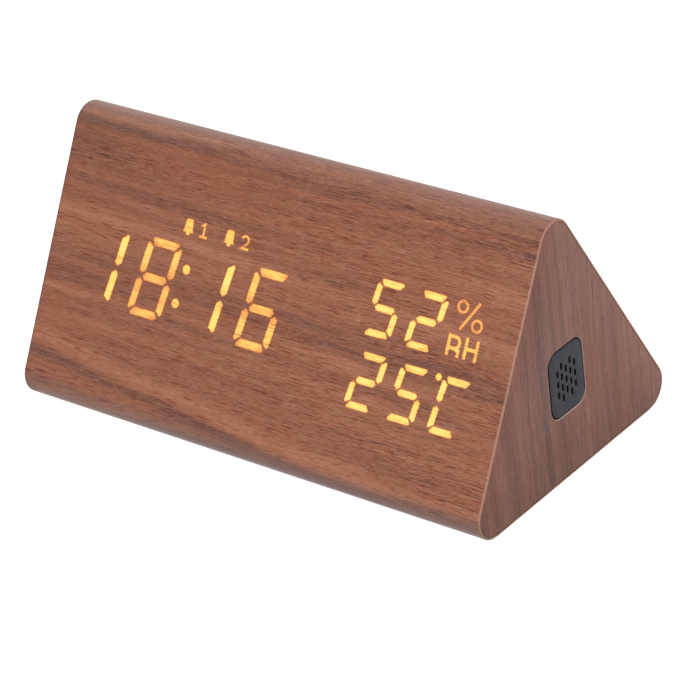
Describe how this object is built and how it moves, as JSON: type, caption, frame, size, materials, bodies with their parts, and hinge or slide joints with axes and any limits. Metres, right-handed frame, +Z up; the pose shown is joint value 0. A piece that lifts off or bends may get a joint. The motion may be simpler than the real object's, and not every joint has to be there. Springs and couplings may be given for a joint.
{
  "type": "digital alarm clock",
  "caption": "Wedge-shaped digital alarm clock in wood-grain film, with a lit time, humidity and temperature display, a side sensor vent, rear buttons, a power inlet and a hinged battery door.",
  "frame": {"origin": "on the table under the middle of the case", "axes": "+X to the right of the lit front, +Y towards the back, +Z up"},
  "size_m": [0.15, 0.0794, 0.0705],
  "materials": {
    "walnut_film": "satin printed wood-grain film",
    "fibreboard": "raw sanded fibreboard",
    "amber_light": "film lit from behind",
    "diffuser": "milky sheet",
    "white_plastic": "fine moulded",
    "black_plastic": "fine spark-eroded texture",
    "circuit_board": "solder mask",
    "led": "clear resin",
    "steel": "zinc plated",
    "nickel": "nickel plated",
    "cell_wrap": "plain printed sleeve",
    "chip_black": "moulded epoxy",
    "ribbon_grey": "ribbon insulation",
    "lead_red": "wire insulation",
    "lead_black": "wire insulation",
    "lead_white": "wire insulation"
  },
  "bodies": {
    "case": {"wrap_film": "walnut_film", "base_film": "walnut_film", "left_end_film": "walnut_film", "right_end_film": "walnut_film", "front_board": "fibreboard", "rear_board": "fibreboard", "base_board": "fibreboard", "left_end_board": "fibreboard", "right_end_board": "fibreboard", "time_digits": "amber_light", "alarm_marks": "amber_light", "humidity_reading": "amber_light", "temperature_reading": "amber_light", "diffuser_sheet": "diffuser", "light_box": "white_plastic", "display_circuit_board": "circuit_board", "display_leds": "led", "display_screws": "steel", "vent_grille": "black_plastic", "sensor_circuit_board": "circuit_board", "humidity_sensor": "black_plastic", "grille_screws": "steel", "control_panel": "black_plastic", "tact_switches": "steel", "main_circuit_board": "circuit_board", "power_socket": "chip_black", "clock_chip": "chip_black", "crystal": "nickel", "backup_cell": "nickel", "backup_cell_holder": "chip_black", "buzzer": "chip_black", "microphone": "nickel", "circuit_board_screws": "steel", "panel_screws": "steel", "battery_tray": "black_plastic", "battery_springs": "nickel", "battery_plates": "nickel", "cell_1": "cell_wrap", "cell_2": "cell_wrap", "cell_3": "cell_wrap", "tray_screws": "steel", "ribbon_cable": "ribbon_grey", "ribbon_plugs": "white_plastic", "positive_lead": "lead_red", "negative_lead": "lead_black", "sensor_lead": "lead_white"},
    "set_button": {"set_button": "black_plastic", "set_switch_plunger": "chip_black"},
    "up_button": {"up_button": "black_plastic", "up_switch_plunger": "chip_black"},
    "down_button": {"down_button": "black_plastic", "down_switch_plunger": "chip_black"},
    "battery_door": {"battery_door": "black_plastic"}
  },
  "joints": [
    {"name": "set_press", "type": "slide", "parent": "case", "child": "set_button", "axis": [0, -0.866, -0.5], "range_m": [0, 0.0005], "stiffness_N_per_m": 500},
    {"name": "up_press", "type": "slide", "parent": "case", "child": "up_button", "axis": [0, -0.866, -0.5], "range_m": [0, 0.0005], "stiffness_N_per_m": 500},
    {"name": "down_press", "type": "slide", "parent": "case", "child": "down_button", "axis": [0, -0.866, -0.5], "range_m": [0, 0.0005], "stiffness_N_per_m": 500},
    {"name": "battery_door_hinge", "type": "hinge", "parent": "case", "child": "battery_door", "pos_m": [-0.02655, 0, 0.0012], "axis": [0, 1, 0], "range_deg": [0, 90]}
  ]
}
